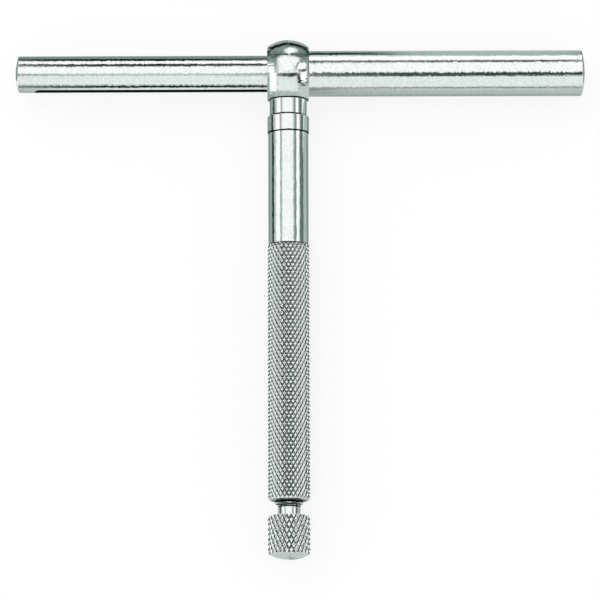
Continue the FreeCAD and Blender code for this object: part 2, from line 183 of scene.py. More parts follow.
class ScrewSizes(bpy.types.PropertyGroup):
    thread_dia: length("Thread", "Diameter of the thread", 7.75)
    thread_pitch: length("Thread pitch", "Rise of the thread in one turn", 0.635)
    thread_depth: length("Thread depth", "Depth of the thread's groove", 0.3)
    thread_show: length("Thread shown", "Thread that shows below the handle", 0.6)
    cone: length("Cone", "Height of the cone below the thread", 0.95)
    stem_dia: length("Stem", "Diameter of the stem", 5.9)
    stem_length: length("Stem length", "Stem that shows above the knob", 2.3)
    knob_dia: length("Knob", "Diameter over the points of the knob's knurl", 11.2)
    knob_length: length("Knob length", "Knob to the edge of its domed end", 10.05)
    knob_crown: length("Knob crown", "Height of the knob's domed end", 1.5)
    knurl_depth: length("Knurl depth", "Points of the knurl to its grooves", 0.38)
    knurl_pitch: length("Knurl pitch", "Diamond to diamond along the knob", 2.63)
    knurls: count("Knurls", "Diamonds round the knob", 26)


class SpringSizes(bpy.types.PropertyGroup):
    plunger_wire: length("Plunger spring wire", "Wire of the plunger's spring", 0.7)
    plunger_turns: count("Plunger spring turns", "Turns of the plunger's spring", 44)
    rod_wire: length("Rod spring wire", "Wire of the lock rod's spring", 0.6)
    rod_turns: count("Rod spring turns", "Turns of the lock rod's spring", 8)


class Finishes(bpy.types.PropertyGroup):
    arm_colour: colour("Arms", "Colour of the arms' chrome", (0.79, 0.805, 0.80))
    head_colour: colour("Head", "Colour of the head's chrome", (0.79, 0.805, 0.80))
    grip_colour: colour("Handle", "Colour of the handle's chrome", (0.78, 0.80, 0.795))
    steel_colour: colour("Steel", "Colour of the inner steel", (0.55, 0.55, 0.55))
    wire_colour: colour("Spring wire", "Colour of the springs' wire", (0.35, 0.35, 0.36))
    # painted shade: near-black for the keyway, standing in for the shade inside the slot
    keyway_shade_colour: colour("Keyway", "Colour of the keyway's blackened floor", (0.02, 0.022, 0.022))
    polish: factor("Roughness", "Roughness of the chrome", 0.07)


class Studio(bpy.types.PropertyGroup):
    floor_colour: colour("Floor", "Colour of the floor", (0.93, 0.93, 0.93))
    floor_glow: factor("Floor glow", "How far the floor shows white, from 0 to 1", 0.8)
    daylight: bpy.props.FloatProperty(
        name="Daylight", description="Strength of the even light from all round", default=0.98, min=0.0,
    )
    lamp_power: bpy.props.FloatProperty(
        name="Lamp", description="Power of the soft lamp overhead", default=2.0, min=0.0,
        subtype="POWER", unit="POWER",
    )


class GaugeSettings(bpy.types.PropertyGroup):
    head: bpy.props.PointerProperty(type=HeadSizes)
    arms: bpy.props.PointerProperty(type=ArmSizes)
    handle: bpy.props.PointerProperty(type=HandleSizes)
    screw: bpy.props.PointerProperty(type=ScrewSizes)
    springs: bpy.props.PointerProperty(type=SpringSizes)
    finish: bpy.props.PointerProperty(type=Finishes)
    studio: bpy.props.PointerProperty(type=Studio)


# Turned outlines and their meshes

# Faces round a turned piece, a ball and a pin
AROUND, AROUND_HEAD, AROUND_SMALL = 256, 320, 96
# Steps round a corner, a slot's end, one turn of a coil and its wire, and parts to a knurl's pitch
CORNER_STEPS, SLOT_STEPS, COIL_STEPS, WIRE_SIDES, KNURL_PARTS = 6, 32, 28, 10, 8
# How full the knurl's pyramids are, from flat sides at 0
KNURL_SWELL = 0.6
SHARP_ANGLE = math.radians(32)
# Rounds of edges, and the short straight held on each side of a round
FINE_ROUND, COLLAR_ROUND, SMALL_ROUND, HOLD = 0.05 * MM, 0.08 * MM, 0.1 * MM, 0.04 * MM
# Metres taken as nothing: between two corners of a mesh, and between two places of an outline
TINY, SNAP = 1e-9, 1e-7
PLACES = {
    "X": lambda along, radius, angle: (along, radius * math.cos(angle), radius * math.sin(angle)),
    "Y": lambda along, radius, angle: (radius * math.sin(angle), along, radius * math.cos(angle)),
    "Z": lambda along, radius, angle: (radius * math.sin(angle), radius * math.cos(angle), along),
}


def crown(tip, round_radius, face_radius, direction, steps=40):
    """Points of a spherical end, from its edge to its tip on the axis."""
    centre = tip - direction * round_radius
    widest = math.asin(face_radius / round_radius)
    angles = [widest * (1 - step / steps) for step in range(steps + 1)]
    return [
        (centre + direction * round_radius * math.cos(angle), round_radius * math.sin(angle), 0)
        for angle in angles
    ]


def eased(outline):
    """Turn each corner (along, radius, rounding) into a small arc, with a short hold on each side."""
    points = []
    for index, (along, radius, rounding) in enumerate(outline):
        here = Vector((along, radius))
        if not rounding:
            points.append(tuple(here))
            continue
        before = (Vector(outline[index - 1][:2]) - here).normalized()
        after = (Vector(outline[(index + 1) % len(outline)][:2]) - here).normalized()
        half = before.angle(after) / 2
        run = rounding / math.tan(half)
        centre = here + (before + after).normalized() * rounding / math.sin(half)
        start, end = here + before * run, here + after * run
        points.append(tuple(start + before * HOLD))
        for step in range(CORNER_STEPS + 1):
            spoke = (start - centre).slerp(end - centre, step / CORNER_STEPS)
            points.append(tuple(centre + spoke * rounding))
        points.append(tuple(end + after * HOLD))
    return points


def mesh_object(name, points, faces):
    mesh = bpy.data.meshes.new(name)
    mesh.from_pydata(points, [], faces)
    piece = bpy.data.objects.new(name, mesh)
    bpy.context.scene.collection.objects.link(piece)
    form = bmesh.new()
    form.from_mesh(mesh)
    bmesh.ops.recalc_face_normals(form, faces=form.faces)
    form.to_mesh(mesh)
    form.free()
    shade(piece)
    return piece


def shade(piece):
    """Shade a piece smooth, except over its sharp edges."""
    piece.data.shade_smooth()
    piece.data.set_sharp_from_angle(angle=SHARP_ANGLE)


def turned(name, axis, outline, around=AROUND, relief=None):
    """Turn an outline about an axis. It closes on itself unless it ends on the axis.

    relief(along, radius, turn) gives the radius at a part of a turn, for knurls and threads.
    """
    place = PLACES[axis]
    points, rings = [], []
    for along, radius in outline:
        first = len(points)
        if radius < TINY:
            points.append(place(along, 0, 0))
            rings.append((first, 1, [0]))
            continue
        radii = [relief(along, radius, k / around) if relief else radius for k in range(around)]
        points += [place(along, radii[k], math.tau * k / around) for k in range(around)]
        rings.append((first, around, radii))
    pairs = list(zip(rings, rings[1:]))
    if rings[0][1] > 1:
        pairs.append((rings[-1], rings[0]))
    faces = []
    for (first, size, radii), (second, other, others) in pairs:
        for k in range(around):
            after = (k + 1) % around
            if size == 1:
                faces.append((first, second + k, second + after))
            elif other == 1:
                faces.append((first + k, second, first + after))
            elif abs(radii[k] + others[after] - radii[after] - others[k]) < TINY:
                faces.append((first + k, second + k, second + after, first + after))
            elif radii[k] + others[after] < radii[after] + others[k]:
                faces.append((first + k, second + k, second + after))
                faces.append((first + k, second + after, first + after))
            else:
                faces.append((first + k, second + k, first + after))
                faces.append((first + after, second + k, second + after))
    return mesh_object(name, points, faces)


def carve(piece, tool, operation="DIFFERENCE"):
    """Join a tool's shape to a piece or cut it away, and delete the tool."""
    change = piece.modifiers.new(operation, "BOOLEAN")
    change.operation, change.object, change.solver = operation, tool, "EXACT"
    change.material_mode = "TRANSFER"
    seen = bpy.context.evaluated_depsgraph_get()
    changed = bpy.data.meshes.new_from_object(piece.evaluated_get(seen))
    piece.modifiers.clear()
    plain, piece.data = piece.data, changed
    changed.name = piece.name
    for used, owner in ((plain, bpy.data.meshes), (tool, bpy.data.objects)):
        owner.remove(used)
    shade(piece)


def rod(axis, radius, start, end):
    """A round bar, for cutting holes."""
    return turned("tool", axis, [(start, 0), (start, radius), (end, radius), (end, 0)], AROUND_SMALL)


def shifted(piece, x):
    """A piece whose mesh is moved along X."""
    for vertex in piece.data.vertices:
        vertex.co += Vector((x, 0, 0))
    return piece


def slot_tool(start, end, radius, low, high):
    """A bar with round ends that stands along Y, for cutting the keyway."""
    sides = []
    for centre, turn in ((end, -math.pi / 2), (start, math.pi / 2)):
        for step in range(SLOT_STEPS + 1):
            angle = turn + math.pi * step / SLOT_STEPS
            sides.append((centre + radius * math.cos(angle), radius * math.sin(angle)))
    size = len(sides)
    points = [(x, y, z) for y in (low, high) for x, z in sides]
    faces = [tuple(range(size)), tuple(range(2 * size - 1, size - 1, -1))]
    faces += [(k, (k + 1) % size, size + (k + 1) % size, size + k) for k in range(size)]
    return mesh_object("tool", points, faces)


def coil(name, axis, start, end, outer_radius, wire, turns):
    """A coil spring of round wire that fills the length from start to end."""
    place = PLACES[axis]
    steps, sides = turns * COIL_STEPS, WIRE_SIDES
    radius = outer_radius - wire / 2
    first, last = start + wire / 2, end - wire / 2
    points = []
    for step in range(steps + 1):
        along = first + (last - first) * step / steps
        for side in range(sides):
            angle = math.tau * side / sides
            rise, out = wire / 2 * math.sin(angle), wire / 2 * math.cos(angle)
            points.append(place(along + rise, radius + out, math.tau * step / COIL_STEPS))
    faces = [tuple(range(sides)), tuple(range(len(points) - 1, len(points) - 1 - sides, -1))]
    for ring in range(0, len(points) - sides, sides):
        for side in range(sides):
            after = (side + 1) % sides
            faces.append((ring + side, ring + after, ring + sides + after, ring + sides + side))
    return mesh_object(name, points, faces)


def diamond(around_pitches, along_pitches):
    """Height of a knurl's pyramid, 1 on a point and 0 in a groove, at a place counted in pitches."""
    across = [around_pitches + along_pitches, around_pitches - along_pitches]
    height = min(1 - 2 * abs(value - round(value)) for value in across)
    return (1 - KNURL_SWELL) * height + KNURL_SWELL * math.sin(math.pi / 2 * height)


def dress(piece, body, material, slot, *nodes):
    """Give a finished piece its material, its body (none to leave it unattached) and the nodes it stands
    for.
    """
    if not piece.data.materials:
        piece.data.materials.append(material)
    piece.data.materials[0] = material
    if body:
        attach(piece, body)
    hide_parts(*nodes)


# Shader maths


class Wire:
    """One output socket of a node, with the arithmetic that the finishes need."""

    def __init__(self, tree, socket):
        self.tree = tree
        self.socket = socket

    def work(self, operation, *values):
        return self.tree.node("ShaderNodeMath", {"operation": operation}, dict(enumerate(values)))

    def __add__(self, other):
        return self.work("ADD", self, other)

    def __sub__(self, other):
        return self.work("SUBTRACT", self, other)

    def __mul__(self, other):
        return self.work("MULTIPLY", self, other)

    def __truediv__(self, other):
        return self.work("DIVIDE", self, other)

    def __rsub__(self, other):
        return self.work("SUBTRACT", other, self)

    def __rtruediv__(self, other):
        return self.work("DIVIDE", other, self)

    def __gt__(self, other):
        return self.work("GREATER_THAN", self, other)

    def __lt__(self, other):
        return self.work("LESS_THAN", self, other)

    def __abs__(self):
        return self.work("ABSOLUTE", self)

    __radd__ = __add__
    __rmul__ = __mul__


class Tree:
    """The nodes of a material or of the world."""

    def __init__(self, owner):
        owner.use_nodes = True
        self.nodes = owner.node_tree.nodes
        self.links = owner.node_tree.links
        self.nodes.clear()

    def node(self, kind, settings=None, inputs=None, output=0):
        """Add a node: its settings are set first, then its sockets get values or links."""
        made = self.nodes.new(kind)
        for key, value in (settings or {}).items():
            setattr(made, key, value)
        for key, value in (inputs or {}).items():
            if isinstance(value, Wire):
                self.links.new(value.socket, made.inputs[key])
            else:
                made.inputs[key].default_value = value
        return Wire(self, made.outputs[output]) if made.outputs else made

    def mix(self, share, first, second):
        """Mix two colours by a share from 0 to 1. Its sockets share names, so they go by number."""
        inputs = {0: share, 6: rgba(first), 7: rgba(second)}
        return self.node("ShaderNodeMix", {"data_type": "RGBA"}, inputs, 2)

    def place(self):
        """The place on the piece, in millimetres."""
        metres = self.node("ShaderNodeTexCoord", output="Object")
        return self.scaled(metres, 1 / MM)

    def vector(self, operation, *values, output=0):
        settings = {"operation": operation}
        return self.node("ShaderNodeVectorMath", settings, dict(enumerate(values)), output)

    def scaled(self, vector, amount):
        return self.node("ShaderNodeVectorMath", {"operation": "SCALE"}, {0: vector, "Scale": amount})

    def stretched(self, vector, x, y, z):
        return self.vector("MULTIPLY", vector, (x, y, z))

    def noise(self, vector, scale, detail, roughness):
        inputs = {"Vector": vector, "Scale": scale, "Detail": detail, "Roughness": roughness}
        return self.node("ShaderNodeTexNoise", None, inputs)

    def axes(self, vector):
        """The three parts of a vector."""
        parted = self.node("ShaderNodeSeparateXYZ", None, {"Vector": vector})
        return [Wire(self, socket) for socket in parted.socket.node.outputs]

    def bump(self, height, distance, normal=None):
        inputs = {"Height": height, "Distance": distance, "Strength": 1.0}
        if normal:
            inputs["Normal"] = normal
        return self.node("ShaderNodeBump", None, inputs)

    def surface(self, **sockets):
        inputs = {key.replace("_", " ").title(): value for key, value in sockets.items()}
        inputs["IOR"] = 1.5
        principled = self.node("ShaderNodeBsdfPrincipled", None, inputs)
        self.node("ShaderNodeOutputMaterial", None, {"Surface": principled})


def rgba(value):
    return value if isinstance(value, Wire) else (*value[:3], 1)


# Near-black of the painted shade at seams and of the dirt and painted shade in the knurls, then how sharp
# and how full it is on the knurls
SHADE_AND_DIRT = (0.012, 0.017, 0.016)
SHADE_AND_DIRT_EDGE, SHADE_AND_DIRT_COVER = 8.0, 0.97
# Per millimetre from the middle: how fast the spread sets in, and how fast it fades. Then the
# millimetres next to the middle where the shiver doesn't grow.
SPREAD_TURN, SPREAD_FADE, CALM_MIDDLE = 60.0, 0.3, 2.6


def chrome(name, base, roughness, grain, axis, shiver, seams=(), knurls=(), spread=None):
    """Polished chrome over turned metal, with painted shade in its seams, and dirt and painted shade in
    the grooves of its knurls.

    The grain runs where its stretch is smallest. The shiver, a turn, a stretch and its growth to the
    sides, tilts the surface to and fro about an axis, so that mirrored lines waver. Seams are places
    along Y with a width, where a dark line of painted shade lies. Knurls are two places along Y with the
    radius of the grooves and their depth. Their grooves hold dirt and painted shade, and painted shade
    lies higher on their flanks that face up the handle. The spread, an amount and two places along Y,
    turns the surface outwards next to the middle, so that it doesn't mirror the narrow panels that are
    meant for the arms.
    """
    material = bpy.data.materials.new(name)
    tree = Tree(material)
    place = tree.place()
    x, y, z = tree.axes(place)
    lines = tree.noise(tree.stretched(place, *grain), 1.0, 3.0, 0.6)
    haze = tree.noise(place, 0.35, 3.0, 0.5)
    speckle = tree.noise(place, 2.4, 3.0, 0.7)
    wear = haze * 0.4 + speckle * 2.0 - 0.7
    dull, bright = [value * 0.86 for value in base], [min(1.0, value * 1.08) for value in base]
    metal = tree.mix(wear, dull, bright)
    facing = tree.node("ShaderNodeNewGeometry", output="Normal")
    rise = tree.axes(facing)[1]
    shade_and_dirt = 0.0
    # painted shade: a dark line along each seam
    for seam, width in seams:
        shade_and_dirt = (abs(y - seam / MM) < lines * width) + shade_and_dirt
    # dirt and painted shade in the knurls' grooves; rise, the normal's part along Y, lifts it as painted
    # shade up the flanks that face up the handle
    for high, low, groove, depth in knurls:
        radius = x.work("SQRT", x * x + z * z)
        height = (radius - groove / MM) / (depth / MM)
        reach = rise * 0.66 + speckle * 0.9 - 0.17
        groove_dirt_and_shade = x.work("MINIMUM", x.work("MAXIMUM", (reach - height) * SHADE_AND_DIRT_EDGE, 0.0), SHADE_AND_DIRT_COVER)
        shade_and_dirt = (y < high / MM) * (y > low / MM) * groove_dirt_and_shade + shade_and_dirt
    if seams or knurls:
        metal = tree.mix(shade_and_dirt, metal, SHADE_AND_DIRT)
    turn, stretch, growth = shiver
    sideways = tree.vector("CROSS_PRODUCT", axis, facing)
    tilt = (tree.noise(tree.stretched(place, *stretch), 1.0, 1.0, 0.5) - 0.5) * turn
    if spread:
        amount, low, high = spread
        within = (y > low / MM) * (y < high / MM)
        side = x.work("MAXIMUM", x.work("MINIMUM", x * SPREAD_TURN, 1.0), -1.0)
        fading = x.work("MAXIMUM", 1.0 - abs(x) * SPREAD_FADE, 0.0)
        outwards = tree.scaled((1, 0, 0), side * fading * within * amount)
        tilt = tilt * (1.0 + within * x.work("MAXIMUM", abs(x) - CALM_MIDDLE, 0.0) * growth)
    tilted = tree.vector("ADD", facing, tree.scaled(sideways, tilt))
    if spread:
        tilted = tree.vector("ADD", tilted, outwards)
    tree.surface(
        base_color=metal,
        metallic=1.0,
        roughness=roughness + haze * 0.03 + lines * 0.02 + shade_and_dirt * 0.3,
        normal=tree.bump(lines, 0.0002 * MM, tree.vector("NORMALIZE", tilted)),
    )
    return material


def dark_steel(name, base, roughness):
    """Dull steel with a fine cutter grain."""
    material = bpy.data.materials.new(name)
    tree = Tree(material)
    place = tree.place()
    grain = tree.noise(tree.stretched(place, 0.4, 6.0, 6.0), 1.0, 3.0, 0.6)
    tree.surface(
        base_color=tree.mix(grain, [value * 0.8 for value in base], base),
        metallic=0.8,
        roughness=roughness + grain * 0.1,
        normal=tree.bump(grain * 0.001, MM),
    )
    return material


# Pieces

PIN_DOME = 0.25 * MM
# Points of a crown next to its edge, left out to make room for the edge's round
EDGE_POINTS = 3


def head_material(settings):
    """Turned about the handle's axis, so its lines run across the picture of the ball."""
    sizes = settings.head
    neck_top = -math.sqrt((sizes.ball_dia / 2) ** 2 - (sizes.width / 2) ** 2) - 0.25 * MM
    return bpy.data.materials.get("head chrome") or chrome(
        "head chrome", settings.finish.head_colour, settings.finish.polish + 0.03,
        grain=(0.25, 2.2, 0.25), axis=(1, 0, 0), shiver=(0.2, (0.3, 2.6, 0.3), 0.9),
        # painted shade: dark lines where the neck meets the ball, round the collar's top and at the
        # handle's top
        seams=((neck_top, 0.3), (-sizes.collar_drop, 0.4), (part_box("handle")[1].y, 0.4)),
        spread=(0.118, neck_top, MM + sizes.ball_dia / 2),
    )


class GAUGE_OT_head(bpy.types.Operator):
    """Build the ball head with its neck, collar and spigot"""

    bl_idname = "gauge.head"
    bl_label = "Head"

    def execute(self, context):
        settings = context.scene.gauge
        sizes, arms = settings.head, settings.arms
        half, ball = sizes.width / 2, sizes.ball_dia / 2
        bore = arms.seat_dia / 2 + sizes.pin_gap
        widest = math.asin(half / ball)
        steps = 60
        arc = [
            (ball * math.sin(widest * side / steps), ball * math.cos(widest * side / steps), 0)
            for side in range(-steps + 1, steps)
        ]
        rim_radius = ball * math.cos(widest)
        outline = [
            (-half, bore, 0), (-half, rim_radius, SMALL_ROUND), *arc,
            (half, rim_radius, SMALL_ROUND), (half, bore, 0),
        ]
        piece = turned("gauge_head", "X", eased(outline), AROUND_HEAD)

        neck, collar, top = sizes.neck_dia / 2, sizes.collar_dia / 2, sizes.collar_drop
        chamfer, spigot = sizes.collar_chamfer, sizes.spigot_dia / 2
        low = -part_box("handle")[1].y
        foot = -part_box("head")[0].y
        start = -(bore + 0.4 * MM)
        neck_outline = [
            (start, 0, 0), (start, neck, 0), (-top, neck, 0), (-top, collar - chamfer, FINE_ROUND),
            (-top - chamfer, collar, COLLAR_ROUND), (-low, collar, COLLAR_ROUND), (-low, spigot, 0),
            (-foot, spigot, SMALL_ROUND), (-foot, 0, 0),
        ]
        carve(piece, turned("tool", "Y", eased(neck_outline)), "UNION")
        carve(piece, rod("Y", sizes.rod_bore / 2, -foot - MM, 0))
        pin_hole = rod("Z", sizes.pin_dia / 2 + sizes.pin_gap, 0, ball + MM)
        carve(piece, shifted(pin_hole, sizes.pin_offset))
        dress(piece, "root", head_material(settings), "head_chrome", "head")
        return {"FINISHED"}


class GAUGE_OT_arm_pin(bpy.types.Operator):
    """Build the domed pin that holds the fixed arm in the head"""

    bl_idname = "gauge.arm_pin"
    bl_label = "Arm Pin"

    def execute(self, context):
        settings = context.scene.gauge
        low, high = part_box("arm_pin")
        radius, dome = settings.head.pin_dia / 2, PIN_DOME
        round_radius = (radius ** 2 + dome ** 2) / (2 * dome)
        outline = [(low.z, 0, 0), (low.z, radius, 0), *crown(high.z, round_radius, radius, 1, 12)]
        piece = turned("gauge_arm_pin", "Z", eased(outline), AROUND_SMALL)
        shifted(piece, settings.head.pin_offset)
        dress(piece, "root", head_material(settings), "head_chrome", "arm_pin")
        return {"FINISHED"}


def arm_material(settings):
    """Ground along the arms, with short ripples that make mirrored lines shiver."""
    return bpy.data.materials.get("arm chrome") or chrome(
        "arm chrome", settings.finish.arm_colour, settings.finish.polish,
        grain=(0.3, 5, 5), axis=(1, 0, 0), shiver=(0.21, (3.0, 0.9, 0.9), 0.0),
    )


class GAUGE_OT_fixed_arm(bpy.types.Operator):
    """Build the fixed arm, a tube closed by its spherical contact"""

    bl_idname = "gauge.fixed_arm"
    bl_label = "Fixed Arm"

    def execute(self, context):
        settings = context.scene.gauge
        sizes, head = settings.arms, settings.head
        low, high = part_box("fixed_arm")
        radius, seat = sizes.fixed_dia / 2, sizes.seat_dia / 2
        bore = sizes.plunger_dia / 2 + sizes.slide_gap
        half = head.width / 2
        wall = high.x - sizes.fixed_wall
        edge, *tip = crown(high.x, sizes.fixed_round, radius, 1)
        outline = [
            (wall, 0, 0), (wall, bore, 0), (low.x, bore, FINE_ROUND), (low.x, seat, SMALL_ROUND),
            (half, seat, 0), (half, radius, FINE_ROUND), (edge[0], radius, sizes.edge),
            *tip[EDGE_POINTS:],
        ]
        piece = turned("gauge_fixed_arm", "X", eased(outline))
        carve(piece, rod("Y", sizes.keyway_width / 2, -radius - MM, 0))
        pin_hole = rod("Z", head.pin_dia / 2 + head.pin_gap, 0, radius + MM)
        carve(piece, shifted(pin_hole, head.pin_offset))
        dress(piece, "root", arm_material(settings), "arm_chrome", "fixed_arm")
        return {"FINISHED"}


class GAUGE_OT_plunger(bpy.types.Operator):
    """Build the plunger with its spherical contact and its keyway"""

    bl_idname = "gauge.plunger"
    bl_label = "Plunger"

    def execute(self, context):
        settings = context.scene.gauge
        sizes = settings.arms
        low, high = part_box("plunger")
        radius, pocket = sizes.plunger_dia / 2, sizes.pocket_dia / 2
        wall = low.x + sizes.moving_wall
        edge, *tip = crown(low.x, sizes.moving_round, radius, -1)
        outline = [
            (wall, 0, 0), (wall, pocket, 0), (high.x, pocket, 0), (high.x, radius, SMALL_ROUND),
            (edge[0], radius, sizes.edge), *tip[EDGE_POINTS:],
        ]
        piece = turned("gauge_plunger", "X", eased(outline))
        piece.data.materials.append(arm_material(settings))
        slot = sizes.keyway_width / 2
        floor = -(radius - sizes.keyway_depth)
        start = low.x + sizes.keyway_start + slot
        tool = slot_tool(start, 0.0, slot, -radius - MM, floor)
        # painted shade: the keyway's cut faces get near-black steel for the shade inside the slot
        tool.data.materials.append(dark_steel("keyway painted shade", settings.finish.keyway_shade_colour, 0.6))
        carve(piece, tool)
        dress(piece, "plunger", arm_material(settings), "arm_chrome", "plunger")
        return {"FINISHED"}


def grip_material(settings):
    """Turned, with painted shade as black in the gap over the lock screw and as dark lines at its other
    seams, and dirt and painted shade in the grooves of both knurls.
    """
    sizes, screw = settings.handle, settings.screw
    low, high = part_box("handle")
    knob_top = low.y - screw.thread_show - screw.cone - screw.stem_length
    thread_end = low.y - screw.thread_show
    knob_end = knob_top - screw.knob_length
    grip_groove = sizes.grip_dia / 2 - sizes.knurl_depth
    knob_groove = screw.knob_dia / 2 - screw.knurl_depth
    return bpy.data.materials.get("handle chrome") or chrome(
        "handle chrome", settings.finish.grip_colour, settings.finish.polish,
        grain=(5, 0.3, 5), axis=(0, 1, 0), shiver=(0.08, (1.2, 0.6, 1.2), 0.0),
        # painted shade: dark lines at the handle's top, black over the thread in the gap below the
        # handle, and lines on the cone
        seams=(
            (high.y, 0.4), (low.y - 0.4 * screw.thread_show, 0.6),
            (thread_end - 0.45 * MM, 0.3), (thread_end - screw.cone, 0.3),
        ),
        # dirt and painted shade in both knurls' grooves, with painted shade higher up the flanks that
        # face up the handle
        knurls=(
            (high.y - sizes.barrel_length, low.y + sizes.end_round / 2, grip_groove, sizes.knurl_depth),
            (knob_top, knob_end, knob_groove, screw.knurl_depth),
        ),
        spread=(0.1, -1.0, knob_end),
    )


def knurl_rows(reach, pitch):
    """Depths down a knurl, a whole number of parts to a pitch."""
    rows = math.floor(reach / pitch * KNURL_PARTS)
    return [row * pitch / KNURL_PARTS for row in range(1, rows + 1)]


class GAUGE_OT_handle(bpy.types.Operator):
    """Build the handle with its plain barrel and knurled grip"""

    bl_idname = "gauge.handle"
    bl_label = "Handle"

    def execute(self, context):
        settings = context.scene.gauge
        sizes = settings.handle
        low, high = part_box("handle")
        bore, thread, barrel = sizes.bore_dia / 2, sizes.thread_dia / 2, sizes.barrel_dia / 2
        grip = sizes.grip_dia / 2
        root = grip - sizes.knurl_depth
        start = high.y - sizes.barrel_length
        end_centre = low.y + sizes.end_round

        def limit(along):
            """Radius of the turned end that the knurl runs out on."""
            past = end_centre - along
            if past <= 0:
                return grip
            past = min(past, sizes.end_round)
            return grip - sizes.end_round + math.sqrt(sizes.end_round ** 2 - past ** 2)

        def relief(along, radius, turn):
            if along > start - SNAP or radius < root - MM:
                return radius
            height = diamond(turn * sizes.knurls, (start - along) / sizes.knurl_pitch)
            if start - along < sizes.knurl_pitch / 2:
                height = min(height, 0.35 + (start - along) / sizes.knurl_pitch)
            return min(root + sizes.knurl_depth * height, limit(along))

        outline = [
            (high.y, bore, 0), (high.y, barrel, 0.15 * MM), (start + 0.05 * MM, barrel, 0.03 * MM),
            (start + 0.02 * MM, barrel - 0.05 * MM, 0), (start, root, 0),
        ]
        rows = knurl_rows(start - end_centre, sizes.knurl_pitch)
        outline += [(start - row, grip, 0) for row in rows]
        steps = 10
        first = math.asin(min(1.0, max(0.0, (end_centre - (start - rows[-1])) / sizes.end_round)))
        for step in range(1, steps + 1):
            angle = first + (math.pi / 2 - first) * step / steps
            outline.append((end_centre - sizes.end_round * math.sin(angle), grip, 0))
        outline[-1] = (low.y, grip - sizes.end_round, 0)
        thread_top = low.y + sizes.thread_length
        outline += [(low.y, thread, SMALL_ROUND), (thread_top, thread, 0), (thread_top, bore, 0)]
        piece = turned("gauge_handle", "Y", eased(outline), KNURL_PARTS * sizes.knurls, relief)
        dress(piece, "root", grip_material(settings), "grip_chrome", "handle")
        return {"FINISHED"}


class GAUGE_OT_lock_screw(bpy.types.Operator):
    """Build the lock screw with its thread, stem and knurled knob"""

    bl_idname = "gauge.lock_screw"
    bl_label = "Lock Screw"

    def execute(self, context):
        settings = context.scene.gauge
        sizes = settings.screw
        low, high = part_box("lock_screw")
        handle_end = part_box("handle")[0].y
        thread, stem, knob = sizes.thread_dia / 2, sizes.stem_dia / 2, sizes.knob_dia / 2
        root = knob - sizes.knurl_depth
        thread_end = handle_end - sizes.thread_show
        cone_end = thread_end - sizes.cone
        knob_top = cone_end - sizes.stem_length
        knob_edge = knob_top - sizes.knob_length
        thread_top = handle_end + 3 * sizes.thread_pitch
        dome = (knob ** 2 + sizes.knob_crown ** 2) / (2 * sizes.knob_crown)

        def relief(along, radius, turn):
            if cone_end < along < thread_top:
                cone = stem + (thread - stem) * min(1.0, (along - cone_end) / sizes.cone)
                wave = along / sizes.thread_pitch + turn
                groove = 2 * abs(wave - round(wave))
                return max(stem, cone - sizes.thread_depth * groove)
            if radius > root - SNAP and along < knob_top + SNAP:
                height = diamond(turn * sizes.knurls, (knob_top - along) / sizes.knurl_pitch)
                return min(radius, root + sizes.knurl_depth * height)
            return radius

        outline = [(high.y, 0, 0), (high.y, thread, 0.3 * MM), (thread_top, thread, 0)]
        rows = 10
        step = sizes.thread_pitch / rows
        turns = math.ceil((thread_top - cone_end) / step)
        outline += [(thread_top - (k + 0.5) * step, thread, 0) for k in range(turns)]
        outline = [point for point in outline if point[0] > cone_end + 0.01 * MM]
        outline += [(cone_end, stem, 0), (knob_top, stem, 0), (knob_top, root - 0.05 * MM, 0)]
        outline += [(knob_top, knob, 0)]
        outline += [(knob_top - row, knob, 0) for row in knurl_rows(sizes.knob_length, sizes.knurl_pitch)]
        outline += [(knob_edge + 0.02 * MM, knob, 0)]
        outline += crown(low.y, dome, knob, -1, 36)[1:]
        piece = turned("gauge_lock_screw", "Y", eased(outline), KNURL_PARTS * sizes.knurls, relief)
        dress(piece, "lock_screw", grip_material(settings), "screw_chrome", "lock_screw")
        return {"FINISHED"}


class GAUGE_OT_lock_rod(bpy.types.Operator):
    """Give the lock rod its turned steel finish"""

    bl_idname = "gauge.lock_rod"
    bl_label = "Lock Rod"

    def execute(self, context):
        mesh = frame["nodes"]["lock_rod"].data
        mesh.materials.clear()
        mesh.materials.append(dark_steel("turned steel", context.scene.gauge.finish.steel_colour, 0.3))
        return {"FINISHED"}


class GAUGE_OT_springs(bpy.types.Operator):
    """Build the plunger's spring and the lock rod's spring"""

    bl_idname = "gauge.springs"
    bl_label = "Springs"

    def execute(self, context):
        settings = context.scene.gauge
        sizes = settings.springs
        wire = dark_steel("spring wire", settings.finish.wire_colour, 0.35)
        low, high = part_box("plunger_spring")
        wire_dia, turns = sizes.plunger_wire, sizes.plunger_turns
        piece = coil("gauge_plunger_spring", "X", low.x, high.x, high.z, wire_dia, turns)
        dress(piece, "root", wire, "spring_steel", "plunger_spring")
        joints = {joint["name"]: joint for joint in frame["record"]["behaviour"]["joints"]}
        travel = joints["plunger_slide"]["range_m"][1]
        left = 1 - travel / (high.x - low.x)
        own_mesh(piece)
        low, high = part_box("rod_spring")
        piece = coil("gauge_rod_spring", "Y", low.y, high.y, high.z, sizes.rod_wire, sizes.rod_turns)
        dress(piece, None, wire, "spring_steel", "rod_spring")
        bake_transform(piece)
        return {"FINISHED"}


# Studio: pale floor, even light, a soft lamp, and a tent of panels that only the chrome reflects

FLOOR_REACH = 6.0
TENT_RADIUS, TENT_STEPS = 20.0, 24
LAMP_SIZE, LAMP_PLACE = 0.9, (-0.35, 0.35, 0.9)
FOCAL_LENGTH, SENSOR_WIDTH, CLIP_END = 202.43, 36.0, 60.0
CAMERA_PLACE = (3.0 * MM, -213.4 * MM, 881 * MM)
CAMERA_AIM = (3.0 * MM, -61.5 * MM, 0)
CAMERA_ROLL = math.radians(-0.17)
CRUMPLE = 0.22

